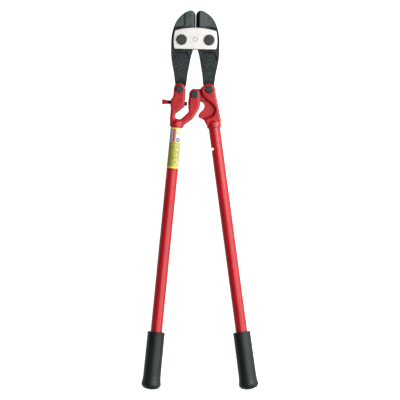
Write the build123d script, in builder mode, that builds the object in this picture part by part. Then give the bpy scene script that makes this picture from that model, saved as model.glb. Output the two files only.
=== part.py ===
"""Bolt cutters of the 900 mm class, lying on their back with the blades towards +Y.

Frame: +X right, +Y from the grips to the blades, +Z up through the thickness.
The origin is the middle of the base of the whole object's box.
Shapes are drawn in the linkage plane: u is right and v is forward, from the main pivot.
The forged pieces are the same on both faces, so each is made as an upper half and mirrored.
"""
import os
from math import cos, radians, sin

from build123d import *

os.makedirs("parts", exist_ok=True)

# ---------------------------------------------------------------- driving dimensions (mm)
# Where the linkage plane lies in the object's frame
PIVOT_X = -25.6
PIVOT_Y = 259.0
REST_HEIGHT = 24.0

# Linkage: blade pivots and link pivots, one on each side of the main pivot's line
BLADE_U, BLADE_V = 33.65, 132.7
LINK_U, LINK_V = 36.0, 12.2

# Half thicknesses about the linkage plane
JAW_HALF = 10.9
ARM_HALF = 8.2
NOSE_HALF = 8.0
TONGUE_HALF = 6.0
SLOT_HALF = 6.25
CHEEK_HALF = 14.0
PLATE_INNER = 11.0
PLATE_OUTER = 17.0

# Cover plates
PLATE_V = 109.8
PLATE_SHOULDER_V = 155.2
PLATE_TOP_V = 162.7
PLATE_CORNER_R = 5.0
PLATE_RIM_R = 0.9
STAMP_R = 5.6
STAMP_WIDTH = 1.2
STAMP_DEPTH = 0.5

# Jaws
EDGE_GAP = 0.15
CLOSING_ANGLE = 0.5
EDGE_HEEL_V = 152.0
TIP_V = 195.0
NOSE_V = 212.0
EDGE_LAND_HALF = 0.8
BEVEL_WIDTH = 10.2
PITCH_R = 33.5
TOOTH_R = 4.0
NOTCH_R = 4.35
TONGUE_R = 12.8
TONGUE_STEP_R = 21.5
JAW_RIM_R = 1.8
CHEEK_SLOPE = 45
WEB_SLOPE = 40

# Pivots
WASHER_THICKNESS = 1.6
BLADE_BOLT_R = 8.0
BLADE_HEAD_R = 12.7
BLADE_HEAD_HEIGHT = 6.5
BLADE_WASHER_R = 14.0
BLADE_NUT_FLATS = 24.0
BLADE_BOLT_INSET = 0.6
LOBE_COUNT = 12
LOBE_R = 1.7
LOBE_OFFSET = 0.9
LINK_BOLT_R = 6.0
LINK_HEAD_R = 8.9
LINK_HEAD_HEIGHT = 5.5
LINK_WASHER_R = 11.0
LINK_NUT_FLATS = 19.0
LINK_NUT_HEIGHT = 5.4
THREAD_END = 1.0
RUNNING_GAP = 0.05
MAIN_PIVOT_PLAY = 2.9
FORK_SLOT_R = 16.5
FORK_SLOT_LENGTH = 30.0
ARM_SLOT_R = 33.0

# Handles: socket faces, splay from the head's axis, and stations along each tube
LEFT_SOCKET = (-42.6, -81.0)
RIGHT_SOCKET = (50.1, -81.3)
LEFT_SPLAY = 4.62
RIGHT_SPLAY = 8.63
COLLAR_R = 17.6
COLLAR_LENGTH = 12.5
COLLAR_NECK_R = 13.2
COLLAR_NECK_LENGTH = 20.0
KNUCKLE_RIM_R = 4.4
TUBE_R = 14.3
TUBE_WALL = 2.3
SHANK_R = 11.95
SHANK_LENGTH = 70.0
STAKE_STATION = 51.0
STAKE_R = 3.1
GRIP_START = 504.0
TUBE_LENGTH = 637.0
GRIP_END = 646.5
GRIP_LIP_R = 20.6
GRIP_R = 21.4
FLARE_START = 616.0
FLARE_R = 24.0
DOME_R = 19.0
DOME_START = 642.0
LABEL_START = 1.5
LABEL_END = 101.5
LABEL_THICKNESS = 0.25

# Adjusting screw, square to the left tube
SCREW_TIP = (-17.7, -23.8)
SCREW_R = 4.9
SCREW_TIP_R = 2.2
SCREW_LENGTH = 48.0
SPADE_LENGTH = 13.5
SPADE_WIDTH = 13.0
SPADE_THICKNESS = 4.6
SPADE_NECK_R = 4.7
SPADE_GAP = 0.2
SPINDLE_R = 2.4
SPINDLE_LENGTH = 7.0

MID = Plane((PIVOT_X, PIVOT_Y, REST_HEIGHT))


def handle_plane(socket, splay, side):
    """Plane through a tube's axis: x points left, square to the tube, and y runs down the tube."""
    angle = radians(splay)
    origin = (PIVOT_X + socket[0], PIVOT_Y + socket[1], REST_HEIGHT)
    return Plane(origin, x_dir=(-cos(angle), -side * sin(angle), 0), z_dir=(0, 0, 1))


LEFT_HANDLE = handle_plane(LEFT_SOCKET, LEFT_SPLAY, -1)
RIGHT_HANDLE = handle_plane(RIGHT_SOCKET, RIGHT_SPLAY, 1)
HEAD_AXIS = Plane.YZ.offset(PIVOT_X)
SCREW_PLANE = Plane((PIVOT_X + SCREW_TIP[0], PIVOT_Y + SCREW_TIP[1], REST_HEIGHT),
                    x_dir=(0, 0, 1), z_dir=LEFT_HANDLE.x_dir)
SCREW_PLANE_AXIS = Axis(SCREW_PLANE.origin, SCREW_PLANE.z_dir)
BLADE_PINS = [(-BLADE_U, BLADE_V), (BLADE_U, BLADE_V)]
LEFT_LINK = (-LINK_U, LINK_V)
RIGHT_LINK = (LINK_U, LINK_V)
MAIN_PIVOT = (0, 0)


def save(part, name):
    """Label a finished piece and write it."""
    part.label = name
    export_step(part, f"parts/{name}.step")


def rounded(corners):
    """A closed outline from corners given as (u, v, corner radius), anticlockwise."""
    FilletPolyline(*[(u, v) for u, v, r in corners], radius=[r for u, v, r in corners], close=True)


# ---------------------------------------------------------------- jaws
def make_jaw(toothed):
    """A forged jaw as the left one; toothed has the centre tooth, the other has its notch."""

    def at(*points):
        return [(-u, v) for u, v in points]

    lean = sin(radians(CLOSING_ANGLE))
    edge_low = EDGE_GAP + lean * (EDGE_HEEL_V - BLADE_V)
    edge_high = EDGE_GAP + lean * (TIP_V - BLADE_V)
    roll_v = 12.5
    roll_u = BLADE_U - (PITCH_R**2 - roll_v**2) ** 0.5

    # Outline corners with their radii, from the nose round the outside and back up the inside
    corners = [(edge_high, NOSE_V, 12.3), (41.8, 194.0, 60.0), (59.5, 148.8, 120.0),
               (59.0, 87.9, 190.0), (50.1, 46.2, 400.0), (47.4, 20.0, 15.0),
               (LINK_U + TONGUE_R, 14.0, 8.0), (LINK_U + TONGUE_R, LINK_V - TONGUE_R, TONGUE_R - 0.1),
               (LINK_U - TONGUE_R, LINK_V - TONGUE_R, TONGUE_R - 0.1), (LINK_U - TONGUE_R, 15.0, 12.0),
               (20.4, 26.0, 20.0), (18.4, 47.0, 120.0), (10.6, 91.0, 100.0)]
    start = (edge_low, EDGE_HEEL_V)
    roll_start = (roll_u, BLADE_V - roll_v)
    roll_end = (roll_u, BLADE_V + roll_v)

    with BuildPart() as jaw:
        with BuildSketch(MID):
            with BuildLine():
                FilletPolyline(*at(start, *[(u, v) for u, v, r in corners], roll_start),
                               radius=[r for u, v, r in corners])
                ThreePointArc(*at(roll_start, (BLADE_U - PITCH_R, BLADE_V), roll_end))
                Line(*at(roll_end, start))
            make_face()
        extrude(amount=JAW_HALF)
        rim = jaw.faces().sort_by(Axis.Z)[-1].outer_wire().edges()
        fillet(rim.sort_by(SortBy.LENGTH)[-1], radius=JAW_RIM_R)

        # The centre tooth of the left jaw seats in the notch of the right one
        with BuildSketch(MID):
            with Locations((0, BLADE_V)):
                Circle(TOOTH_R if toothed else NOTCH_R)
        extrude(amount=JAW_HALF, mode=Mode.ADD if toothed else Mode.SUBTRACT)

        # Bevel down to the cutting edge
        with BuildSketch(Plane(MID.location.position + Vector(0, EDGE_HEEL_V, 0), x_dir=(1, 0, 0),
                               z_dir=(0, -1, 0))):
            with BuildLine():
                Polyline(*at((-1.0, EDGE_LAND_HALF), (edge_low, EDGE_LAND_HALF),
                             (BEVEL_WIDTH, JAW_HALF), (BEVEL_WIDTH, JAW_HALF + 5.0),
                             (-1.0, JAW_HALF + 5.0)), close=True)
            make_face()
        extrude(amount=-(NOSE_V - EDGE_HEEL_V), mode=Mode.SUBTRACT)

        # Sunk cheek outside the blade pad, with a sloped wall
        with BuildSketch(MID.offset(JAW_HALF)):
            with BuildLine():
                FilletPolyline(*at((24.8, 215.0), (24.8, 164.0), (64.0, 158.5), (70.0, 215.0)),
                               radius=[2.0, 9.0, 2.0, 2.0], close=True)
            make_face()
        extrude(amount=-(JAW_HALF - NOSE_HALF), taper=CHEEK_SLOPE, mode=Mode.SUBTRACT)

        # Sunk web of the arm, with round-cornered shoulders at its front end
        with BuildSketch(MID.offset(JAW_HALF)):
            with BuildLine():
                FilletPolyline(*at((-5, 70), (13.0, 88.0), (19.5, 103.7), (47.5, 103.7),
                                   (54.5, 88.0), (72, 70), (72, -15), (-5, -15)),
                               radius=[2, 5, 7, 7, 5, 2, 2, 2], close=True)
            make_face()
        extrude(amount=-(JAW_HALF - ARM_HALF), taper=WEB_SLOPE, mode=Mode.SUBTRACT)

        # Tongue for the link fork
        with BuildSketch(MID.offset(TONGUE_HALF)):
            with Locations((-LINK_U, LINK_V)):
                Circle(TONGUE_STEP_R)
        extrude(amount=JAW_HALF, mode=Mode.SUBTRACT)

        with BuildSketch(MID):
            with Locations((-BLADE_U, BLADE_V)):
                Circle(BLADE_BOLT_R + RUNNING_GAP)
            with Locations((-LINK_U, LINK_V)):
                Circle(LINK_BOLT_R + RUNNING_GAP)
        extrude(amount=JAW_HALF, mode=Mode.SUBTRACT)
        mirror(about=MID)
    return jaw.part


with BuildPart() as left_jaw:
    add(make_jaw(toothed=True))
save(left_jaw.part, "left_jaw")

with BuildPart() as right_jaw:
    mirror(make_jaw(toothed=False), about=HEAD_AXIS)
save(right_jaw.part, "right_jaw")


# ---------------------------------------------------------------- cover plates
def make_plate(stamped):
    """A cover plate above the jaws; the front one has a shallow round stamp at its centre."""
    with BuildPart() as plate:
        with BuildSketch(MID.offset(PLATE_INNER)) as outline:
            with BuildLine():
                Line((-51.4, PLATE_V), (51.4, PLATE_V))
                ThreePointArc((51.4, PLATE_V), (53.4, 131.0), (50.0, PLATE_SHOULDER_V))
                ThreePointArc((50.0, PLATE_SHOULDER_V), (0, PLATE_TOP_V),
                              (-50.0, PLATE_SHOULDER_V))
                ThreePointArc((-50.0, PLATE_SHOULDER_V), (-53.4, 131.0), (-51.4, PLATE_V))
            make_face()
            fillet(outline.vertices(), radius=PLATE_CORNER_R)
        extrude(amount=PLATE_OUTER - PLATE_INNER)
        fillet(plate.faces().sort_by(Axis.Z)[-1].outer_wire().edges(), radius=PLATE_RIM_R)
        with BuildSketch(MID.offset(PLATE_INNER)):
            with Locations(*BLADE_PINS):
                Circle(BLADE_BOLT_R + RUNNING_GAP)
        extrude(amount=PLATE_OUTER - PLATE_INNER, mode=Mode.SUBTRACT)
        if stamped:
            with BuildSketch(MID.offset(PLATE_OUTER)):
                with Locations((0, BLADE_V + 1.5)):
                    Circle(STAMP_R)
                    Circle(STAMP_R - STAMP_WIDTH, mode=Mode.SUBTRACT)
            extrude(amount=-STAMP_DEPTH, mode=Mode.SUBTRACT)
    return plate.part


with BuildPart() as front_cover_plate:
    add(make_plate(stamped=True))
save(front_cover_plate.part, "front_cover_plate")

with BuildPart() as rear_cover_plate:
    mirror(make_plate(stamped=False), about=MID)
save(rear_cover_plate.part, "rear_cover_plate")


# ---------------------------------------------------------------- knuckles
def make_collar(plane):
    """Round collar at a knuckle's lower end, and the shank that goes into the tube."""
    with BuildPart() as collar:
        with BuildSketch(plane):
            with BuildLine():
                FilletPolyline((0, 0), (COLLAR_R, 0), (COLLAR_R, -COLLAR_LENGTH),
                               (COLLAR_NECK_R, -COLLAR_NECK_LENGTH), (0, -COLLAR_NECK_LENGTH),
                               radius=[1.4, 5.0, 2.0])
                Line((0, -COLLAR_NECK_LENGTH), (0, 0))
            make_face()
            with BuildLine():
                Polyline((0, -5.0), (SHANK_R, -5.0), (SHANK_R, SHANK_LENGTH - 3.0),
                         (SHANK_R - 2.0, SHANK_LENGTH), (0, SHANK_LENGTH), close=True)
            make_face()
        revolve(axis=Axis(plane.origin, plane.y_dir))
    return collar.part


def stake_slot(plane):
    """Cross slot cut through one side of a tube and its shank, which locks the two together."""
    with BuildPart() as slot:
        with BuildSketch(plane.offset(-TUBE_R)):
            with Locations((11.0, STAKE_STATION)):
                Circle(STAKE_R)
            with Locations((14.0, STAKE_STATION)):
                Rectangle(6.0, 2 * STAKE_R)
        extrude(amount=2 * TUBE_R)
    return slot.part


with BuildPart() as left_knuckle:
    # Branch with the link fork, curved arm round to the main pivot, kidney-shaped gap between
    with BuildSketch(MID):
        with BuildLine():
            rounded([(-21.7, 26.5, 14.2), (-50.3, 26.5, 14.2), (-51.4, -2.0, 20.0),
                     (-53.6, -9.0, 8.0), (-58.6, -14.5, 5.0), (-58.6, -27.5, 5.0),
                     (-57.2, -35.0, 8.0), (-59.5, -65.0, 30.0), (-56.2, -77.0, 5.0),
                     (-29.5, -79.5, 5.0), (-3.2, -60.6, 40.0), (13.8, -30.8, 30.0),
                     (13.8, 13.5, 13.3), (-13.4, 13.5, 13.3), (-12.7, -12.0, 40.0),
                     (-14.8, -33.0, 12.0), (-13.0, -43.0, 7.0), (-36.0, -65.0, 9.0),
                     (-48.3, -57.0, 8.0), (-45.0, -47.8, 8.0), (-24.2, -30.8, 5.0),
                     (-22.9, -10.0, 60.0)])
        make_face()
    extrude(amount=CHEEK_HALF)
    fillet(left_knuckle.faces().sort_by(Axis.Z)[-1].outer_wire().edges(), radius=KNUCKLE_RIM_R)
    mirror(about=MID)
    add(make_collar(LEFT_HANDLE))

    # Slot for the jaw's tongue, and the slot in the arm for the right knuckle's lug
    with BuildSketch(MID.offset(-SLOT_HALF)):
        with Locations(LEFT_LINK):
            Circle(FORK_SLOT_R)
        with Locations((-LINK_U, LINK_V + FORK_SLOT_LENGTH / 2)):
            Rectangle(2 * FORK_SLOT_R, FORK_SLOT_LENGTH)
        with BuildLine():
            Polyline((-18.0, -27.66), (-18.0, 20.0), (27.66, 20.0), (27.66, -18.0))
            ThreePointArc((27.66, -18.0), (0, -ARM_SLOT_R), (-18.0, -27.66))
        make_face()
    extrude(amount=2 * SLOT_HALF, mode=Mode.SUBTRACT)

    with BuildSketch(MID.offset(-CHEEK_HALF)):
        with Locations(LEFT_LINK, MAIN_PIVOT):
            Circle(LINK_BOLT_R + RUNNING_GAP)
    extrude(amount=2 * CHEEK_HALF, mode=Mode.SUBTRACT)
    with BuildSketch(SCREW_PLANE):
        Circle(SCREW_R + RUNNING_GAP)
    extrude(amount=SCREW_LENGTH, mode=Mode.SUBTRACT)
save(left_knuckle.part, "left_knuckle")

with BuildPart() as right_knuckle:
    # Thin web: lug round the main pivot with its heel, throat and nose
    with BuildSketch(MID.offset(-TONGUE_HALF)):
        with BuildLine():
            rounded([(30.0, 13.3, 2.0), (-13.2, 13.3, 13.1), (-13.2, -5.0, 10.0),
                     (-15.1, -18.0, 10.0), (-15.1, -29.5, 5.0), (-6.0, -31.0, 4.0),
                     (6.0, -19.0, 8.0), (17.5, -17.0, 12.0), (25.0, -24.5, 8.0),
                     (24.2, -35.0, 8.0), (12.6, -46.0, 9.0), (9.4, -55.3, 3.0),
                     (24.4, -62.6, 10.0), (30.0, -71.0, 5.0), (46.0, -70.0, 2.0),
                     (54.0, -40.0, 2.0), (38.0, -10.0, 2.0)])
        make_face()
    extrude(amount=2 * TONGUE_HALF)

    # Thick rib from the link fork down the outside to the collar
    with BuildPart(mode=Mode.PRIVATE) as rib:
        with BuildSketch(MID):
            with BuildLine():
                rounded([(50.3, 26.5, 14.2), (27.8, 26.5, 12.0), (13.6, 14.2, 5.0),
                         (20.5, -4.0, 15.0), (31.0, -15.0, 20.0), (44.5, -24.0, 14.0),
                         (52.6, -38.0, 9.0), (44.5, -53.0, 12.0), (22.6, -60.6, 5.0),
                         (33.0, -78.5, 5.0), (63.0, -75.5, 5.0), (67.0, -64.0, 20.0),
                         (52.6, 2.0, 40.0)])
            make_face()
        extrude(amount=CHEEK_HALF)
        fillet(rib.faces().sort_by(Axis.Z)[-1].outer_wire().edges(), radius=KNUCKLE_RIM_R)
        mirror(about=MID)
    add(rib.part)
    add(make_collar(RIGHT_HANDLE))

    with BuildSketch(MID.offset(-SLOT_HALF)):
        with Locations(RIGHT_LINK):
            Circle(FORK_SLOT_R)
        with Locations((LINK_U, LINK_V + FORK_SLOT_LENGTH / 2)):
            Rectangle(2 * FORK_SLOT_R, FORK_SLOT_LENGTH)
    extrude(amount=2 * SLOT_HALF, mode=Mode.SUBTRACT)

    with BuildSketch(MID.offset(-CHEEK_HALF)):
        with Locations(RIGHT_LINK):
            Circle(LINK_BOLT_R + RUNNING_GAP)
        with Locations(MAIN_PIVOT):
            Circle(LINK_BOLT_R + MAIN_PIVOT_PLAY)
    extrude(amount=2 * CHEEK_HALF, mode=Mode.SUBTRACT)
    add(stake_slot(RIGHT_HANDLE), mode=Mode.SUBTRACT)
save(right_knuckle.part, "right_knuckle")


# ---------------------------------------------------------------- tubes, grips and label
def make_tube(plane, staked):
    """Steel tube pushed over a knuckle's shank up to the collar."""
    with BuildPart() as tube:
        with BuildSketch(plane):
            with Locations((TUBE_R - TUBE_WALL / 2, TUBE_LENGTH / 2)):
                Rectangle(TUBE_WALL, TUBE_LENGTH)
        revolve(axis=Axis(plane.origin, plane.y_dir))
        if staked:
            add(stake_slot(plane), mode=Mode.SUBTRACT)
    return tube.part


def make_grip(plane):
    """Rubber sleeve with a flared, domed and closed end, which the tool rests on."""
    with BuildPart() as grip:
        with BuildSketch(plane):
            with BuildLine():
                FilletPolyline((TUBE_R, GRIP_START), (GRIP_LIP_R, GRIP_START), (GRIP_R, FLARE_START),
                               (FLARE_R, 631.5), (FLARE_R, 635.0), (DOME_R, DOME_START),
                               radius=[2.5, 25.0, 3.0, 3.0])
                TangentArc((0, GRIP_END), (DOME_R, DOME_START), tangent=(1, 0))
                Polyline((0, GRIP_END), (0, TUBE_LENGTH), (TUBE_R, TUBE_LENGTH),
                         (TUBE_R, GRIP_START))
            make_face()
        revolve(axis=Axis(plane.origin, plane.y_dir))
    return grip.part


with BuildPart() as left_tube:
    add(make_tube(LEFT_HANDLE, staked=False))
save(left_tube.part, "left_tube")

with BuildPart() as right_tube:
    add(make_tube(RIGHT_HANDLE, staked=True))
save(right_tube.part, "right_tube")

with BuildPart() as left_grip:
    add(make_grip(LEFT_HANDLE))
save(left_grip.part, "left_grip")

with BuildPart() as right_grip:
    add(make_grip(RIGHT_HANDLE))
save(right_grip.part, "right_grip")

with BuildPart() as label_sleeve:
    with BuildSketch(LEFT_HANDLE):
        with Locations((TUBE_R + LABEL_THICKNESS / 2, (LABEL_START + LABEL_END) / 2)):
            Rectangle(LABEL_THICKNESS, LABEL_END - LABEL_START)
    revolve(axis=Axis(LEFT_HANDLE.origin, LEFT_HANDLE.y_dir))
save(label_sleeve.part, "label_sleeve")


# ---------------------------------------------------------------- pivots
def make_link_bolt(place):
    """Round-headed pivot bolt through a link fork."""
    with BuildPart() as bolt:
        with BuildSketch(MID.offset(CHEEK_HALF)):
            with Locations(place):
                Circle(LINK_HEAD_R)
        extrude(amount=LINK_HEAD_HEIGHT)
        fillet(bolt.faces().sort_by(Axis.Z)[-1].edges(), radius=1.8)
        with BuildSketch(MID.offset(CHEEK_HALF)):
            with Locations(place):
                Circle(LINK_BOLT_R)
        extrude(amount=-(2 * CHEEK_HALF + WASHER_THICKNESS + LINK_NUT_HEIGHT + THREAD_END))
        chamfer(bolt.faces().sort_by(Axis.Z)[0].edges(), length=1.0)
    return bolt.part


def make_washer(places, top, outer_r, inner_r):
    """Flat washers below the given height, one for each place."""
    with BuildPart() as washer:
        with BuildSketch(MID.offset(top)):
            with Locations(*places):
                Circle(outer_r)
                Circle(inner_r, mode=Mode.SUBTRACT)
        extrude(amount=-WASHER_THICKNESS)
    return washer.part


def make_nut(places, top, height, across_flats, inner_r):
    """Hexagon nuts below the given height, chamfered at the lower face."""
    with BuildPart() as nut:
        with BuildSketch(MID.offset(top)):
            with Locations(*places):
                RegularPolygon(across_flats / 2, 6, major_radius=False)
                Circle(inner_r, mode=Mode.SUBTRACT)
        extrude(amount=-height)
        for face in nut.faces().group_by(Axis.Z)[0]:
            chamfer(face.outer_wire().edges(), length=0.5)
    return nut.part


def make_pivot_set(name, place):
    """Bolt, washer and nut of one link pivot."""
    bore_r = LINK_BOLT_R + RUNNING_GAP
    save(make_link_bolt(place), f"{name}_bolt")
    save(make_washer([place], -CHEEK_HALF, LINK_WASHER_R, bore_r), f"{name}_washer")
    save(make_nut([place], -CHEEK_HALF - WASHER_THICKNESS, LINK_NUT_HEIGHT, LINK_NUT_FLATS, bore_r),
         f"{name}_nut")


make_pivot_set("left_link", LEFT_LINK)
make_pivot_set("right_link", RIGHT_LINK)
make_pivot_set("main_pivot", MAIN_PIVOT)


def make_blade_bolt(place, lobed):
    """Large bolt that carries a jaw; a lobed head can be held with a ring spanner."""
    with BuildPart() as bolt:
        with BuildSketch(MID.offset(PLATE_OUTER)):
            with Locations(place):
                Circle(BLADE_HEAD_R)
                if lobed:
                    with PolarLocations(BLADE_HEAD_R + LOBE_OFFSET, LOBE_COUNT):
                        Circle(LOBE_R, mode=Mode.SUBTRACT)
        extrude(amount=BLADE_HEAD_HEIGHT)
        chamfer(bolt.faces().sort_by(Axis.Z)[-1].edges(), length=1.2)
        with BuildSketch(MID.offset(PLATE_OUTER)):
            with Locations(place):
                Circle(BLADE_BOLT_R)
        extrude(amount=-(PLATE_OUTER + REST_HEIGHT - BLADE_BOLT_INSET))
        chamfer(bolt.faces().sort_by(Axis.Z)[0].edges(), length=1.0)
    return bolt.part


with BuildPart() as left_blade_bolt:
    add(make_blade_bolt(BLADE_PINS[0], lobed=True))
save(left_blade_bolt.part, "left_blade_bolt")

with BuildPart() as right_blade_bolt:
    add(make_blade_bolt(BLADE_PINS[1], lobed=False))
save(right_blade_bolt.part, "right_blade_bolt")

with BuildPart() as blade_washers:
    add(make_washer(BLADE_PINS, -PLATE_OUTER, BLADE_WASHER_R, BLADE_BOLT_R + RUNNING_GAP))
save(blade_washers.part, "blade_washers")

with BuildPart() as blade_nuts:
    add(make_nut(BLADE_PINS, -PLATE_OUTER - WASHER_THICKNESS,
                 REST_HEIGHT - PLATE_OUTER - WASHER_THICKNESS, BLADE_NUT_FLATS,
                 BLADE_BOLT_R + RUNNING_GAP))
save(blade_nuts.part, "blade_nuts")

# ---------------------------------------------------------------- adjusting screw
with BuildPart() as adjusting_screw:
    with BuildSketch(SCREW_PLANE):
        Circle(SCREW_R)
    extrude(amount=SCREW_LENGTH)
    fillet(adjusting_screw.faces().sort_by(SCREW_PLANE_AXIS)[0].edges(), radius=SCREW_TIP_R)
    with BuildSketch(SCREW_PLANE.offset(SCREW_LENGTH)):
        Circle(SPINDLE_R)
    extrude(amount=SPINDLE_LENGTH)
save(adjusting_screw.part, "adjusting_screw")

with BuildPart() as screw_spade:
    with BuildSketch(SCREW_PLANE.offset(SCREW_LENGTH + SPADE_GAP)):
        Circle(SPADE_NECK_R)
    with BuildSketch(SCREW_PLANE.offset(SCREW_LENGTH + SPADE_GAP + SPADE_LENGTH)):
        RectangleRounded(SPADE_THICKNESS, SPADE_WIDTH, 1.6)
    loft()
    with BuildSketch(SCREW_PLANE.offset(SCREW_LENGTH)):
        Circle(SPINDLE_R + RUNNING_GAP)
    extrude(amount=SPINDLE_LENGTH + SPADE_GAP, mode=Mode.SUBTRACT)
save(screw_spade.part, "screw_spade")
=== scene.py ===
"""Looks of the bolt cutters: materials, forged and turned pieces, floor, light and camera.

Everything is in metres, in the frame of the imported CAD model, which lies on the floor z = 0.
"""

import math

import bmesh
import bpy
from mathutils import Matrix, Vector


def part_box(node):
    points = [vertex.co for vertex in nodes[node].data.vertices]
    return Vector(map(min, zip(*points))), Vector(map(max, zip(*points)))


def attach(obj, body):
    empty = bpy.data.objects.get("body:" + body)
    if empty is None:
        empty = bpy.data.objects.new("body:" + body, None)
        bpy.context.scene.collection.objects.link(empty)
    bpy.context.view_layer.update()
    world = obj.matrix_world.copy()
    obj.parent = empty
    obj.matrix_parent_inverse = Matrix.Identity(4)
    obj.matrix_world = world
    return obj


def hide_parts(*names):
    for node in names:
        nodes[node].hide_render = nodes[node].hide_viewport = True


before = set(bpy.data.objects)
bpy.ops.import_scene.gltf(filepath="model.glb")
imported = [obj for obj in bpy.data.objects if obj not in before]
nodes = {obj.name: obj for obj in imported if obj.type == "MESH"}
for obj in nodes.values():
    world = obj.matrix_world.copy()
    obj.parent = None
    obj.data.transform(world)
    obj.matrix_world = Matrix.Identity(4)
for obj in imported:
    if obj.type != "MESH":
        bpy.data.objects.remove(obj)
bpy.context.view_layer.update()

MM = 0.001


# ---------------------------------------------------------------- node helpers
class Shader:
    """A material with one principled surface, and short ways to add the nodes that feed it."""

    def __init__(self, name, **sockets):
        self.material = bpy.data.materials.new(name)
        self.material.use_nodes = True
        self.tree = self.material.node_tree
        self.surface = self.tree.nodes["Principled BSDF"]
        for socket, value in sockets.items():
            self.surface.inputs[socket.replace("_", " ")].default_value = value
        self.place = self.tree.nodes.new("ShaderNodeTexCoord").outputs["Object"]

    def add(self, kind, inputs=None, **settings):
        """A node of that kind; an input is a value or another node's output."""
        node = self.tree.nodes.new("ShaderNode" + kind)
        for key, value in settings.items():
            setattr(node, key, value)
        for key, value in (inputs or {}).items():
            self.put(node.inputs[key], value)
        return node

    def put(self, socket, value):
        """Link another node's output to the socket, or set the value on it."""
        if isinstance(value, bpy.types.NodeSocket):
            self.tree.links.new(value, socket)
        else:
            socket.default_value = value

    def noise(self, scale, detail=4.0, roughness=0.55, place=None):
        """Noise from 0 to 1, in features of about 1 / scale metres."""
        node = self.add("TexNoise", {"Vector": place or self.place, "Scale": scale,
                                     "Detail": detail, "Roughness": roughness})
        return node.outputs["Fac"]

    def stretched(self, x, y, z, turn=0.0):
        """Object coordinates turned about Z, then scaled along each axis."""
        turned = self.add("VectorRotate", {"Vector": self.place, "Angle": turn},
                          rotation_type="Z_AXIS").outputs["Vector"]
        return self.add("Mapping", {"Vector": turned, "Scale": (x, y, z)}).outputs["Vector"]

    def axis(self, name):
        """One object coordinate, in metres."""
        return self.add("SeparateXYZ", {"Vector": self.place}).outputs[name]

    def attribute(self, name):
        """A value stored on the mesh."""
        return self.add("Attribute", attribute_name=name).outputs["Fac"]

    def ramp(self, value, low, high, start, end):
        """Value from low to high, mapped and held between start and end."""
        node = self.add("MapRange", {"Value": value, "From Min": low, "From Max": high,
                                     "To Min": start, "To Max": end})
        return node.outputs["Result"]

    def mix(self, factor, first, second):
        """Colour between first and second."""
        node = self.add("Mix", data_type="RGBA")
        for key, value in ((0, factor), (6, first), (7, second)):
            self.put(node.inputs[key], value)
        return node.outputs[2]

    def math(self, operation, *values):
        """A Math node's result."""
        return self.add("Math", dict(enumerate(values)), operation=operation).outputs["Value"]

    def between(self, value, low, high, soft=0.15):
        """1 where value is from low to high, with soft edges, and 0 elsewhere."""
        rise = self.ramp(value, low - soft, low + soft, 0.0, 1.0)
        fall = self.ramp(value, high - soft, high + soft, 1.0, 0.0)
        return self.math("MULTIPLY", rise, fall)

    def crevice_shade(self, colour, reach, shade_tone, strength, unshaded_from=0.9):
        """Colour darkened in crevices narrower than reach: painted shade from ambient occlusion,
        strongest where the surface is most closed and fading out towards open surfaces.
        """
        open_sky = self.add("AmbientOcclusion", {"Distance": reach}, samples=8).outputs["AO"]
        return self.mix(self.ramp(open_sky, 0.35, unshaded_from, strength, 0.0), colour, shade_tone)

    def bumps(self, *layers):
        """Bump layers as (height, distance in metres, strength), one on another."""
        normal = None
        for height, distance, strength in layers:
            inputs = {"Height": height, "Distance": distance, "Strength": strength}
            if normal is not None:
                inputs["Normal"] = normal
            normal = self.add("Bump", inputs).outputs["Normal"]
        self.feed("Normal", normal)

    def feed(self, socket, output):
        """Link an output to one of the principled surface's sockets."""
        self.tree.links.new(output, self.surface.inputs[socket])


# ---------------------------------------------------------------- materials
def enamel(name, pebble, speckle):
    """Glossy red enamel over steel: slow colour drift, orange peel, speckles, dust and painted shade
    in crevices.
    """
    shader = Shader(name, Specular_IOR_Level=0.5)
    drift = shader.noise(26.0, detail=3.0)
    grain = shader.noise(420.0, detail=5.0, roughness=0.65)
    colour = shader.mix(shader.ramp(drift, 0.35, 0.65, 0.0, 1.0),
                        (0.52, 0.009, 0.015, 1.0), (0.44, 0.007, 0.012, 1.0))
    scuff = shader.noise(90.0, detail=8.0, roughness=0.75, place=shader.stretched(1.0, 0.25, 1.0))
    dust = shader.ramp(scuff, 0.63, 0.72, 0.0, 0.25)
    colour = shader.mix(dust, colour, (0.40, 0.032, 0.035, 1.0))
    speckles = shader.noise(330.0, detail=3.0, roughness=0.6)
    colour = shader.mix(shader.ramp(speckles, 0.34, 0.48, speckle, 0.0), colour,
                        (0.17, 0.003, 0.006, 1.0))
    colour = shader.mix(shader.ramp(speckles, 0.56, 0.68, 0.0, speckle * 0.5), colour,
                        (0.56, 0.09, 0.085, 1.0))
    # Painted shade: the red darkens to near black in crevices and at the foot of walls, from ambient
    # occlusion.
    shader.feed("Base Color", shader.crevice_shade(colour, 6.0 * MM, (0.045, 0.004, 0.005, 1.0), 0.9))
    shader.feed("Roughness", shader.ramp(grain, 0.3, 0.7, 0.16, 0.30))
    peel = shader.noise(700.0, detail=2.0)
    shader.bumps((shader.noise(140.0, detail=3.0), pebble, 0.5), (peel, 0.00004, 0.3))
    return shader.material


BEVEL_WIDTH = 9.0 * MM


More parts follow.
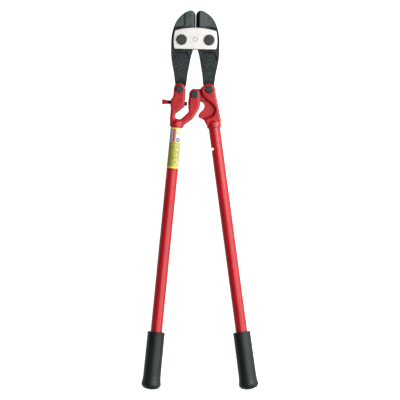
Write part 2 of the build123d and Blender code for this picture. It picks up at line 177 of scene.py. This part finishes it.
def forging(name, ground_from, edge_x):
    """Black-oxidised drop forging, ground ahead of ground_from, with bright edges at edge_x.

    The left bevel is ground steel painted lighter as lit, and the right bevel is painted near black as
    shade.
    """
    shader = Shader(name, Metallic=0.85, Specular_IOR_Level=0.2)
    patch = shader.noise(45.0, detail=5.0, roughness=0.6)
    scale = shader.noise(520.0, detail=6.0, roughness=0.7)
    pits = shader.noise(270.0, detail=5.0, roughness=0.7)
    dark = shader.mix(shader.ramp(patch, 0.35, 0.65, 0.0, 1.0),
                      (0.030, 0.037, 0.037, 1.0), (0.046, 0.054, 0.054, 1.0))
    dark = shader.mix(shader.ramp(pits, 0.38, 0.52, 0.65, 0.0), dark, (0.013, 0.017, 0.017, 1.0))
    dark = shader.mix(shader.ramp(pits, 0.52, 0.66, 0.0, 0.6), dark, (0.085, 0.096, 0.096, 1.0))
    ground = shader.mix(shader.ramp(patch, 0.35, 0.65, 0.0, 1.0),
                        (0.072, 0.086, 0.086, 1.0), (0.108, 0.125, 0.125, 1.0))
    streaks = shader.noise(1.0, detail=5.0, roughness=0.7, place=shader.stretched(260.0, 60.0, 260.0))
    ground = shader.mix(shader.ramp(streaks, 0.35, 0.5, 0.5, 0.0), ground, (0.045, 0.056, 0.056, 1.0))
    front = shader.ramp(shader.axis("Y"), ground_from - 0.001, ground_from + 0.003, 0.0, 1.0)
    colour = shader.mix(front, dark, ground)
    right_of_edge = shader.math("SUBTRACT", shader.axis("X"), edge_x)
    # Bands along the cutting edge: the left bevel painted lighter as lit, the right bevel painted near
    # black as shade, and a bright worn edge between them.
    for low, high, strength, tone in ((-BEVEL_WIDTH, 0.0, 0.5, (0.17, 0.185, 0.185, 1.0)),
                                      (0.0, BEVEL_WIDTH, 0.9, (0.003, 0.004, 0.004, 1.0)),
                                      (-1.0 * MM, 1.0 * MM, 0.8, (0.42, 0.43, 0.43, 1.0))):
        band = shader.math("MULTIPLY", front, shader.between(right_of_edge, low, high, 0.4 * MM))
        colour = shader.mix(shader.math("MULTIPLY", band, strength), colour, tone)
    bright = shader.ramp(scale, 0.62, 0.80, 0.0, 0.30)
    colour = shader.mix(bright, colour, (0.10, 0.105, 0.105, 1.0))
    # Painted shade: near black in crevices and at the foot of the steps' walls, from ambient
    # occlusion.
    shader.feed("Base Color", shader.crevice_shade(colour, 7.0 * MM, (0.004, 0.004, 0.004, 1.0), 0.95, 0.97))
    shader.feed("Roughness", shader.ramp(scale, 0.3, 0.7, 0.36, 0.56))
    shader.bumps((patch, 0.0003, 0.25), (pits, 0.0003, 0.5), (scale, 0.00010, 0.5))
    return shader.material


STAMP_R = 5.6 * MM
STAMP_WIDTH = 1.5 * MM
STAMP_ABOVE_PINS = 1.5 * MM


def plated(name, stamp_centre):
    """Bright nickel plate: fine rolled lines, a faint cloudiness, a darker grey ring for the round
    stamp, and painted shade in crevices such as round the bolt heads.
    """
    shader = Shader(name, Metallic=0.9, Specular_IOR_Level=0.6)
    lines = shader.noise(60.0, detail=6.0, roughness=0.7, place=shader.stretched(0.6, 26.0, 1.0))
    cloud = shader.noise(35.0, detail=4.0)
    colour = shader.mix(shader.ramp(cloud, 0.35, 0.65, 0.0, 1.0),
                        (0.92, 0.895, 0.85, 1.0), (0.84, 0.82, 0.78, 1.0))
    specks = shader.noise(260.0, detail=4.0, roughness=0.7)
    colour = shader.mix(shader.ramp(specks, 0.30, 0.44, 0.4, 0.0), colour, (0.50, 0.50, 0.50, 1.0))
    stamp = shader.add("VectorMath", {0: shader.place, 1: stamp_centre}, operation="SUBTRACT")
    flat = shader.add("VectorMath", {0: stamp.outputs["Vector"], 1: (1.0, 1.0, 0.0)},
                      operation="MULTIPLY").outputs["Vector"]
    reach = shader.add("VectorMath", {0: flat}, operation="LENGTH").outputs["Value"]
    ring = shader.between(reach, STAMP_R - STAMP_WIDTH, STAMP_R, 0.2 * MM)
    colour = shader.mix(shader.math("MULTIPLY", ring, 0.75), colour, (0.36, 0.37, 0.39, 1.0))
    # Painted shade: dark rings round the bolt heads and in other crevices, from ambient occlusion.
    shader.feed("Base Color", shader.crevice_shade(colour, 3.0 * MM, (0.10, 0.09, 0.10, 1.0), 0.9))
    shader.feed("Roughness", shader.ramp(lines, 0.3, 0.7, 0.26, 0.36))
    shader.bumps((lines, 0.00002, 0.25))
    return shader.material


def bolt_steel(name, dark, rubbed_bright):
    """Blackened bolt steel with rubbed spots and painted shade in crevices."""
    shader = Shader(name, Metallic=0.5, Specular_IOR_Level=0.3)
    rubbed = shader.noise(260.0, detail=5.0, roughness=0.65)
    hammered = shader.noise(330.0, detail=2.0)
    colour = shader.mix(shader.ramp(rubbed, 0.35, 0.7, 0.0, 1.0), dark, rubbed_bright)
    # Painted shade: near black in crevices where the heads meet the parts, from ambient occlusion.
    shader.feed("Base Color", shader.crevice_shade(colour, 5.0 * MM, (0.004, 0.004, 0.004, 1.0), 0.95))
    shader.feed("Roughness", shader.ramp(rubbed, 0.3, 0.7, 0.34, 0.52))
    shader.bumps((hammered, 0.0004, 0.6), (shader.noise(700.0), 0.00006, 0.4))
    return shader.material


def rubber(name):
    """Moulded black rubber: matt, finely pebbled, with a dusty bloom and rubbed streaks."""
    shader = Shader(name, Specular_IOR_Level=0.36)
    bloom = shader.noise(22.0, detail=4.0)
    pebble = shader.noise(1100.0, detail=3.0, roughness=0.5)
    streak = shader.noise(60.0, detail=5.0, place=shader.stretched(3.0, 0.35, 3.0))
    colour = shader.mix(shader.ramp(bloom, 0.35, 0.65, 0.0, 1.0),
                        (0.005, 0.010, 0.010, 1.0), (0.011, 0.017, 0.017, 1.0))
    shader.feed("Base Color", shader.mix(shader.ramp(streak, 0.6, 0.75, 0.0, 0.4), colour,
                                         (0.030, 0.034, 0.034, 1.0)))
    shader.feed("Roughness", shader.ramp(pebble, 0.3, 0.7, 0.34, 0.50))
    shader.bumps((pebble, 0.00007, 0.45))
    return shader.material


def thread_steel(name):
    """Zinc-dulled screw steel, oily in the thread."""
    shader = Shader(name, Metallic=0.7, Specular_IOR_Level=0.4)
    oil = shader.noise(180.0, detail=5.0)
    shader.feed("Base Color", shader.mix(shader.ramp(oil, 0.35, 0.65, 0.0, 1.0),
                                         (0.020, 0.022, 0.023, 1.0), (0.055, 0.056, 0.058, 1.0)))
    shader.feed("Roughness", shader.ramp(oil, 0.3, 0.7, 0.28, 0.45))
    shader.bumps((shader.noise(900.0), 0.00004, 0.3))
    return shader.material


# Printed film, in millimetres: right of the tube's top line, and down from the film's upper end
LABEL_STRIPES = ((-40.0, -13.8, (0.24, 0.31, 0.36, 1.0)),
                 (-13.8, -11.4, (0.34, 0.66, 0.72, 1.0)),
                 (-11.4, -9.6, (0.26, 0.42, 0.50, 1.0)),
                 (-9.6, -7.4, (0.62, 0.72, 0.76, 1.0)),
                 (-7.4, -2.6, (0.60, 0.09, 0.08, 1.0)),
                 (-2.6, 0.8, (0.64, 0.20, 0.18, 1.0)),
                 (24.0, 40.0, (0.16, 0.22, 0.30, 1.0)))
LABEL_BORDERS = ((-5.0, 3.0), (96.0, 105.0))
BLOTCH_AROUND, BLOTCH_ALONG, BLOTCH_SOFT = (1.6, 12.5), (8.6, 17.0), 0.8
RING_AROUND, RING_ALONG, RING_R, RING_WIDTH = 7.6, 30.0, 5.3, 3.4
PANEL_SPLIT, PANEL_TILT, PANEL_SOFT = 35.0, 0.05, 0.3
BARS_START, BARS_END = PANEL_SPLIT + 2.0, 94.0
LABEL_TURN = math.radians(4.6)

PAPER = (0.78, 0.79, 0.77, 1.0)
YELLOW = (0.52, 0.51, 0.07, 1.0)
SHADED_YELLOW = (0.34, 0.34, 0.035, 1.0)
LIT_YELLOW = (0.70, 0.66, 0.26, 1.0)
BLOTCH_YELLOW = (0.62, 0.58, 0.20, 1.0)
BORDER_YELLOW = (0.80, 0.76, 0.08, 1.0)
RING_BLUE = (0.02, 0.09, 0.40, 1.0)
BAR_BROWN = (0.20, 0.17, 0.04, 1.0)
FADED = (0.72, 0.70, 0.62, 1.0)


def label_print(name):
    """Printed film: a white panel with stripes, blotch and ring, above a yellow panel of faint bars,
    painted darker on its left flank as shade and paler on its right flank as light.

    The mesh stores where each point lies on the film, as around and along, in millimetres.
    """
    shader = Shader(name, Specular_IOR_Level=0.35)
    around = shader.attribute("around")
    wobble = shader.ramp(shader.noise(60.0), 0.3, 0.7, -0.25, 0.25)
    along = shader.math("ADD", shader.attribute("along"), wobble)
    worn = shader.noise(220.0, detail=5.0, roughness=0.7)

    colour = PAPER
    for low, high, paint in LABEL_STRIPES:
        colour = shader.mix(shader.between(around, low, high), colour, paint)
    blotch = shader.math("MULTIPLY", shader.between(around, *BLOTCH_AROUND, BLOTCH_SOFT),
                         shader.between(along, *BLOTCH_ALONG, BLOTCH_SOFT))
    colour = shader.mix(blotch, colour, BLOTCH_YELLOW)

    ring_around = shader.math("SUBTRACT", around, RING_AROUND)
    ring_along = shader.math("SUBTRACT", along, RING_ALONG)
    reach = shader.math("SQRT", shader.math("ADD", shader.math("MULTIPLY", ring_around, ring_around),
                                            shader.math("MULTIPLY", ring_along, ring_along)))
    ring = shader.between(reach, RING_R - RING_WIDTH, RING_R)
    colour = shader.mix(ring, colour, RING_BLUE)

    tilted = shader.math("ADD", along, shader.math("MULTIPLY", around, PANEL_TILT))
    # Painted shade and light: the yellow panel darkens towards the left flank and pales towards the
    # right flank.
    panel = shader.mix(shader.ramp(around, -13.0, 0.0, 0.0, 1.0), SHADED_YELLOW, YELLOW)
    panel = shader.mix(shader.ramp(around, 0.0, 11.0, 0.0, 1.0), panel, LIT_YELLOW)
    columns = shader.noise(1.0, detail=3.0, place=shader.stretched(620.0, 170.0, 620.0, -LABEL_TURN))
    bars = shader.math("MULTIPLY", shader.ramp(columns, 0.47, 0.56, 0.0, 0.75),
                       shader.between(along, BARS_START, BARS_END, 1.0))
    panel = shader.mix(bars, panel, BAR_BROWN)
    below_split = shader.ramp(tilted, PANEL_SPLIT - PANEL_SOFT, PANEL_SPLIT + PANEL_SOFT, 0.0, 1.0)
    colour = shader.mix(below_split, colour, panel)
    for low, high in LABEL_BORDERS:
        colour = shader.mix(shader.between(tilted, low, high), colour, BORDER_YELLOW)
    fade = shader.ramp(worn, 0.64, 0.76, 0.0, 0.35)
    shader.feed("Base Color", shader.mix(fade, colour, FADED))
    shader.feed("Roughness", shader.ramp(worn, 0.3, 0.7, 0.30, 0.45))
    shader.bumps((shader.noise(130.0, detail=3.0), 0.00005, 0.4))
    return shader.material


def corners_of(name):
    """Lowest and highest corner of a node's box."""
    low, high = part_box(name)
    return Vector(low), Vector(high)


def middle(name):
    """Centre of a node's box."""
    low, high = corners_of(name)
    return (low + high) / 2


GROUND_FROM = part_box("front_cover_plate")[1][1]
STAMP_CENTRE = ((middle("left_blade_bolt") + middle("right_blade_bolt")) / 2
                + Vector((0, STAMP_ABOVE_PINS, 0)))
finishes = {
    "red_forging": enamel("enamel_on_forging", 0.0007, 0.7),
    "red_tube": enamel("enamel_on_tube", 0.00003, 0.12),
    "dark_forging": forging("oxidised_forging", GROUND_FROM, STAMP_CENTRE.x),
    "plated_steel": plated("nickel_plate", STAMP_CENTRE),
    "dark_bolt_steel": bolt_steel("blackened_steel", (0.036, 0.036, 0.044, 1.0),
                                  (0.072, 0.070, 0.080, 1.0)),
    "grip_rubber": rubber("moulded_rubber"),
    "label_film": label_print("printed_film"),
}
link_steel = bolt_steel("oxidised_bolt_steel", (0.026, 0.033, 0.033, 1.0),
                        (0.050, 0.060, 0.060, 1.0))
for name, node in nodes.items():
    for slot in node.material_slots:
        slot.material = finishes[slot.material.name.split(".")[0]]
        if name.startswith(("left_link_", "right_link_", "main_pivot_")):
            slot.material = link_steel


# ---------------------------------------------------------------- forged pieces
WELD_DISTANCE = 0.002 * MM
SKIN_VOXEL = 0.8 * MM
SKIN_SOFTENING = 8


def forged(node_name, body, slot):
    """Knuckle with the soft edges and blended collar of a drop forging, grown from its CAD solid."""
    mesh = nodes[node_name].data.copy()
    build = bmesh.new()
    build.from_mesh(mesh)
    bmesh.ops.remove_doubles(build, verts=build.verts, dist=WELD_DISTANCE)
    build.to_mesh(mesh)
    build.free()
    piece = bpy.data.objects.new(f"{node_name}_forging", mesh)
    bpy.context.scene.collection.objects.link(piece)
    skin = piece.modifiers.new("skin", "REMESH")
    skin.mode = "VOXEL"
    skin.voxel_size = SKIN_VOXEL
    skin.use_smooth_shade = True
    soften = piece.modifiers.new("soften", "SMOOTH")
    soften.factor = 0.5
    soften.iterations = SKIN_SOFTENING
    settled = piece.evaluated_get(bpy.context.evaluated_depsgraph_get())
    piece.data = bpy.data.meshes.new_from_object(settled)
    piece.modifiers.clear()
    piece.data.materials.clear()
    piece.data.materials.append(finishes[slot])
    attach(piece, body)
    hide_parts(node_name)


forged("left_knuckle", "left_handle", "red_forging")
forged("right_knuckle", "right_handle", "red_forging")


# ---------------------------------------------------------------- turned pieces
AXIS_ROUNDS = 30


class Turned:
    """Straight axis of a level turned part, with its start, direction and the part's radius."""

    def __init__(self, start, along, radius):
        self.radius = radius
        self.start = Vector(start)
        self.along = Vector(along).normalized()
        self.up = Vector((0, 0, 1))
        self.across = self.along.cross(self.up)

    def point(self, station, radius, angle):
        """Point at that station and radius; the angle is from straight up, towards across."""
        return (self.start + self.along * station + self.up * (radius * math.cos(angle))
                + self.across * (radius * math.sin(angle)))


def tube_axis(node, side):
    """Axis of a level tube from its box; it starts at the upper end and slopes out to that side.

    The slope and the tube's corners in the box depend on each other, so rounds settle the slope.
    """
    low, high = corners_of(node)
    radius = (high.z - low.z) / 2
    angle = 0.0
    for _ in range(AXIS_ROUNDS):
        angle = math.atan2(high.x - low.x - 2 * radius * math.cos(angle),
                           high.y - low.y - 2 * radius * math.sin(angle))
    inner_x = high.x if side < 0 else low.x
    start = (inner_x + side * radius * math.cos(angle), high.y - radius * math.sin(angle),
             (low.z + high.z) / 2)
    return Turned(start, (side * math.sin(angle), -math.cos(angle), 0), radius)


def top_station(node, axis, radius):
    """Station on the axis of the upper end of a node's cylinder of that radius."""
    high = corners_of(node)[1]
    return (axis.start.y - high.y + radius * abs(axis.along.x)) / abs(axis.along.y)


def cylinder_length(node, axis, radius):
    """Length of a node that is a cylinder of that radius along the axis, from its box."""
    low, high = corners_of(node)
    return ((high.x - low.x - 2 * radius * abs(axis.along.y)) ** 2
            + (high.y - low.y - 2 * radius * abs(axis.along.x)) ** 2) ** 0.5


def turn_piece(name, axis, profile, swell, segments, stored=None):
    """Closed mesh turned from a profile of (station, radius), from axis to axis.

    A profile that starts off the axis is joined end to start. swell(station, radius, angle)
    adds to the radius, and stored(station, angle) gives values kept on the mesh.
    """
    mesh = bpy.data.meshes.new(name)
    build = bmesh.new()
    layers = {key: build.verts.layers.float.new(key) for key in (stored(0, 0) if stored else ())}
    rings = []
    for station, radius in profile:
        if radius == 0:
            rings.append([build.verts.new(axis.point(station, 0, 0))])
            continue
        ring = []
        for step in range(segments):
            angle = 2 * math.pi * (step / segments - 0.5)
            grown = radius + swell(station, radius, angle)
            vertex = build.verts.new(axis.point(station, grown, angle))
            for key, layer in layers.items():
                vertex[layer] = stored(station, angle)[key]
            ring.append(vertex)
        rings.append(ring)
    pairs = list(zip(rings, rings[1:]))
    if profile[0][1] > 0:
        pairs.append((rings[-1], rings[0]))
    for first, second in pairs:
        for step in range(segments):
            after = (step + 1) % segments
            corners = [first[step % len(first)], first[after % len(first)],
                       second[after % len(second)], second[step % len(second)]]
            build.faces.new(list(dict.fromkeys(corners)))
    bmesh.ops.recalc_face_normals(build, faces=build.faces)
    for face in build.faces:
        face.smooth = True
    build.to_mesh(mesh)
    build.free()
    piece = bpy.data.objects.new(name, mesh)
    bpy.context.scene.collection.objects.link(piece)
    return piece


def rounded_profile(corners, steps=6):
    """Profile through (station, radius, corner radius) in metres, with arcs in the corners."""
    points = [Vector(corner[:2]) for corner in corners]
    profile = [tuple(points[0])]
    for index in range(1, len(corners) - 1):
        before = (points[index - 1] - points[index]).normalized()
        after = (points[index + 1] - points[index]).normalized()
        half = before.angle(after) / 2
        if corners[index][2] == 0:
            profile.append(tuple(points[index]))
            continue
        reach = corners[index][2] / math.tan(half)
        radius = corners[index][2]
        centre = points[index] + (before + after).normalized() * (radius / math.sin(half))
        first = (points[index] + before * reach - centre).normalized()
        last = (points[index] + after * reach - centre).normalized()
        for step in range(steps + 1):
            profile.append(tuple(centre + first.slerp(last, step / steps) * radius))
    profile.append(tuple(points[-1]))
    return profile


def subdivided(profile, longest):
    """The profile with long straights divided, so no span is longer than that."""
    result = [profile[0]]
    for first, last in zip(profile, profile[1:]):
        count = max(1, math.ceil(math.dist(first, last) / longest))
        for step in range(1, count + 1):
            result.append(tuple(a + (b - a) * step / count for a, b in zip(first, last)))
    return result


def finish_piece(piece, body, node, material):
    """Material and place in the model of a piece that stands for a CAD node."""
    piece.data.materials.append(material)
    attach(piece, body)
    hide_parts(node)


GRIP_FIT = 0.05 * MM
GRIP_LENGTH = 142.5 * MM
GRIP_BOX_R = 20.6 * MM
PROFILE_SPAN = 4 * MM
SEAM_HEIGHT = 0.22 * MM
SEAM_HALF_WIDTH = math.radians(2.4)
SEAM_END_GAP = (4 * MM, 3 * MM)
FLARE_MARGIN = 0.4 * MM
TUBE_SEGMENTS = 144

# The sleeve's corners in millimetres: how far below the lip, radius and rounding
SLEEVE_CORNERS = ((0.0, 21.4, 2.2), (5.0, 21.4, 1.5), (7.0, 20.9, 1.5), (111.0, 21.5, 1.0),
                  (113.0, 22.1, 0.8), (118.0, 22.1, 8.0))
# The same for its end: how far above the end, and the radius and rounding of the dome's corners
FLARE_ENDS, FLARE_ROUNDING = (14.8 * MM, 11.4 * MM), 3.0 * MM
DOME_CORNERS = ((4.4, 19.0, 3.0), (1.2, 10.0, 8.0))


def grip(side_name, side):
    """Dipped rubber sleeve: rolled lip, slow taper, flared stop, domed end and mould seams."""
    axis = tube_axis(f"{side_name}_tube", side)
    length = cylinder_length(f"{side_name}_tube", axis, axis.radius)
    lip = top_station(f"{side_name}_grip", axis, GRIP_BOX_R)
    low, high = corners_of(f"{side_name}_grip")
    flare = (high.z - low.z) / 2
    end = lip + GRIP_LENGTH
    bore = axis.radius + GRIP_FIT
    corners = [(length, 0.0, 0.0), (length, bore, 0.0), (lip, bore, 0.0)]
    corners += [(lip + down * MM, radius * MM, rounding * MM)
                for down, radius, rounding in SLEEVE_CORNERS]
    corners += [(end - above, flare, FLARE_ROUNDING) for above in FLARE_ENDS]
    corners += [(end - above * MM, radius * MM, rounding * MM)
                for above, radius, rounding in DOME_CORNERS]
    corners += [(end, 0.001 * MM, 0.0), (end, 0.0, 0.0)]

    def swell(station, radius, angle):
        on_bore = radius <= bore + 1e-6
        if on_bore or not lip + SEAM_END_GAP[0] < station < end - SEAM_END_GAP[1]:
            return 0.0
        off_seam = min(abs(abs(angle) - math.pi / 2) / SEAM_HALF_WIDTH, 1.0)
        return SEAM_HEIGHT * (1 - off_seam) if radius < flare - FLARE_MARGIN else 0.0

    profile = subdivided(rounded_profile(corners), PROFILE_SPAN)
    piece = turn_piece(f"{side_name}_grip_sleeve", axis, profile, swell, TUBE_SEGMENTS)
    finish_piece(piece, f"{side_name}_handle", f"{side_name}_grip",
                 finishes["grip_rubber"])


grip("left", -1)
grip("right", 1)


FILM_FIT = 0.01 * MM
OVERLAP_STEP = 0.1 * MM
OVERLAP_FROM = math.radians(165)
FILM_ROWS = 60


def label():
    """Printed film wrapped round the left tube, with its overlap at the underside."""
    axis = tube_axis("left_tube", -1)
    low, high = corners_of("label_sleeve")
    film_r = (high.z - low.z) / 2
    start = top_station("label_sleeve", axis, film_r)
    length = cylinder_length("label_sleeve", axis, film_r)
    inner = axis.radius + FILM_FIT
    outer = film_r - OVERLAP_STEP
    profile = [(start, inner)]
    profile += [(start + length * row / FILM_ROWS, outer) for row in range(FILM_ROWS + 1)]
    profile.append((start + length, inner))

    def swell(station, radius, angle):
        return OVERLAP_STEP if radius == outer and abs(angle) > OVERLAP_FROM else 0.0

    def stored(station, angle):
        return {"around": -angle * film_r / MM, "along": (station - start) / MM}

    piece = turn_piece("printed_label", axis, profile, swell, TUBE_SEGMENTS, stored)
    finish_piece(piece, "left_handle", "label_sleeve", finishes["label_film"])


label()

THREAD_PITCH = 1.5 * MM
THREAD_DEPTH = 0.85 * MM
THREAD_ROWS_PER_TURN = 8
THREAD_RUN_IN = 2 * THREAD_PITCH
SCREW_LENGTH = 55.0 * MM
SCREW_TIP_R = 2.2 * MM
SCREW_TIP_STEPS = 6
SCREW_TIP_PLAIN = 3.2 * MM
SCREW_SHOULDER = 0.5 * MM
SCREW_SHOULDER_DROP = 0.6 * MM
SCREW_SEGMENTS = 48
SPINDLE_LENGTH = 7.0 * MM
SPINDLE_R = 2.4 * MM


def adjusting_screw():
    """M10 screw with its thread, a plain rounded tip and the spindle for the spade."""
    low, high = corners_of("adjusting_screw")
    handle = tube_axis("left_tube", -1)
    radius = (high.z - low.z) / 2
    along = Vector((handle.along.y, -handle.along.x, 0))
    tip = Vector((high.x - radius * abs(along.y), 0, (low.z + high.z) / 2))
    rise = 1 if along.y > 0 else -1
    tip.y = (low.y if rise > 0 else high.y) + rise * radius * abs(along.x)
    axis = Turned(tip, along, radius)
    length = SCREW_LENGTH - SPINDLE_LENGTH
    threaded = length - SCREW_TIP_PLAIN - SCREW_SHOULDER
    profile = [(0.0, 0.0), (0.0, radius - SCREW_TIP_R)]
    for step in range(1, SCREW_TIP_STEPS + 1):
        angle = math.pi / 2 * step / SCREW_TIP_STEPS
        profile.append((SCREW_TIP_R * (1 - math.cos(angle)),
                        radius - SCREW_TIP_R * (1 - math.sin(angle))))
    rows = round(threaded / THREAD_PITCH * THREAD_ROWS_PER_TURN)
    for row in range(rows + 1):
        profile.append((SCREW_TIP_PLAIN + threaded * row / rows, radius))
    profile += [(length, radius - SCREW_SHOULDER_DROP), (length, SPINDLE_R),
                (SCREW_LENGTH, SPINDLE_R), (SCREW_LENGTH, 0.0)]

    def swell(station, point_radius, angle):
        if point_radius < radius or station < SCREW_TIP_PLAIN:
            return 0.0
        turn = (station / THREAD_PITCH - angle / (2 * math.pi)) % 1.0
        groove = min(max(1.35 - abs(2 * turn - 1) * 2.2, 0.0), 1.0)
        lead = min((station - SCREW_TIP_PLAIN) / THREAD_RUN_IN, 1.0)
        return -THREAD_DEPTH * groove * lead

    piece = turn_piece("adjusting_screw_threaded", axis, profile, swell, SCREW_SEGMENTS)
    finish_piece(piece, "adjusting_screw", "adjusting_screw",
                 thread_steel("screw_steel"))


adjusting_screw()


# ---------------------------------------------------------------- floor, light and camera
CARD_HALF = 6.0
CARD_GREY = (0.85, 0.85, 0.85, 1.0)


def plane_card(name, height, glow):
    """Level emitting sheet, wide enough to fill every view."""
    mesh = bpy.data.meshes.new(name)
    corners = [(x * CARD_HALF, y * CARD_HALF, height) for x, y in ((-1, -1), (1, -1), (1, 1), (-1, 1))]
    mesh.from_pydata(corners, [], [(0, 1, 2, 3)])
    card = bpy.data.objects.new(name, mesh)
    bpy.context.scene.collection.objects.link(card)
    shader = Shader(name + "_paper", Base_Color=CARD_GREY, Roughness=0.9,
                    Emission_Color=(1.0, 1.0, 1.0, 1.0), Emission_Strength=glow)
    shader.bumps((shader.noise(400.0), 0.0001, 0.2))
    mesh.materials.append(shader.material)
    return card


def area_light(name, place, aim, width, height, radiance):
    """Soft box at place, turned towards aim, with that radiance all over."""
    light = bpy.data.lights.new(name, "AREA")
    light.shape = "RECTANGLE"
    light.size = width
    light.size_y = height
    light.energy = radiance * math.pi * width * height
    holder = bpy.data.objects.new(name, light)
    bpy.context.scene.collection.objects.link(holder)
    direction = Vector(aim) - Vector(place)
    turn = direction.to_track_quat("-Z", "Y").to_matrix().to_4x4()
    holder.matrix_world = Matrix.Translation(place) @ turn
    holder.visible_camera = False


# The floor that the camera sees is white, and a dimmer card under it lights the object from below
FLOOR_GLOW = 1.05
BOUNCE_GLOW = 0.35
BOUNCE_DROP = 0.5 * MM
floor = plane_card("floor", 0.0, FLOOR_GLOW)
floor.visible_diffuse = False
floor.visible_glossy = False
bounce = plane_card("bounce", -BOUNCE_DROP, BOUNCE_GLOW)
bounce.visible_camera = False

KEY_TILT = math.radians(37.0)
KEY_DISTANCE = 3.0
KEY_SIDE = 4.4
KEY_RADIANCE = 2.35
area_light("key_soft_box",
           place=(KEY_DISTANCE * math.sin(KEY_TILT), 0.0, KEY_DISTANCE * math.cos(KEY_TILT)),
           aim=(0.0, 0.0, 0.0), width=KEY_SIDE, height=KEY_SIDE, radiance=KEY_RADIANCE)
area_light("upper_soft_box", place=(1.9, 1.1, 2.1), aim=(0.0, 0.1, 0.0),
           width=1.3, height=1.3, radiance=7.5)
area_light("side_soft_box", place=(2.9, 0.0, 0.75), aim=(0.0, 0.0, 0.0),
           width=3.5, height=1.5, radiance=1.4)
bpy.context.scene.view_settings.view_transform = "Standard"

SKY_COLOUR = (0.9, 0.95, 1.0, 1.0)
SKY_STRENGTH = 0.08
world = bpy.data.worlds.new("studio")
world.use_nodes = True
background = world.node_tree.nodes["Background"]
background.inputs["Color"].default_value = SKY_COLOUR
background.inputs["Strength"].default_value = SKY_STRENGTH
bpy.context.scene.world = world

VIEW_SPAN = 0.980
VIEW_CENTRE = Vector((-0.0076, 0.0005, 0.024))
LENS = 250.0
SENSOR = 36.0
FARTHEST = 50.0
ROLL = math.radians(1.02)
YAW = math.radians(-1.0)


def look_down():
    """Long-lens camera almost square above the tool, turned a little about its own axis."""
    camera = bpy.data.cameras.new("camera")
    camera.lens = LENS
    camera.sensor_width = SENSOR
    camera.clip_end = FARTHEST
    holder = bpy.data.objects.new("camera", camera)
    bpy.context.scene.collection.objects.link(holder)
    distance = VIEW_SPAN * LENS / SENSOR
    turn = Matrix.Rotation(-YAW, 4, "Y") @ Matrix.Rotation(ROLL, 4, "Z")
    back = Matrix.Translation((0, 0, distance))
    holder.matrix_world = Matrix.Translation(VIEW_CENTRE) @ turn @ back
    bpy.context.scene.camera = holder


look_down()
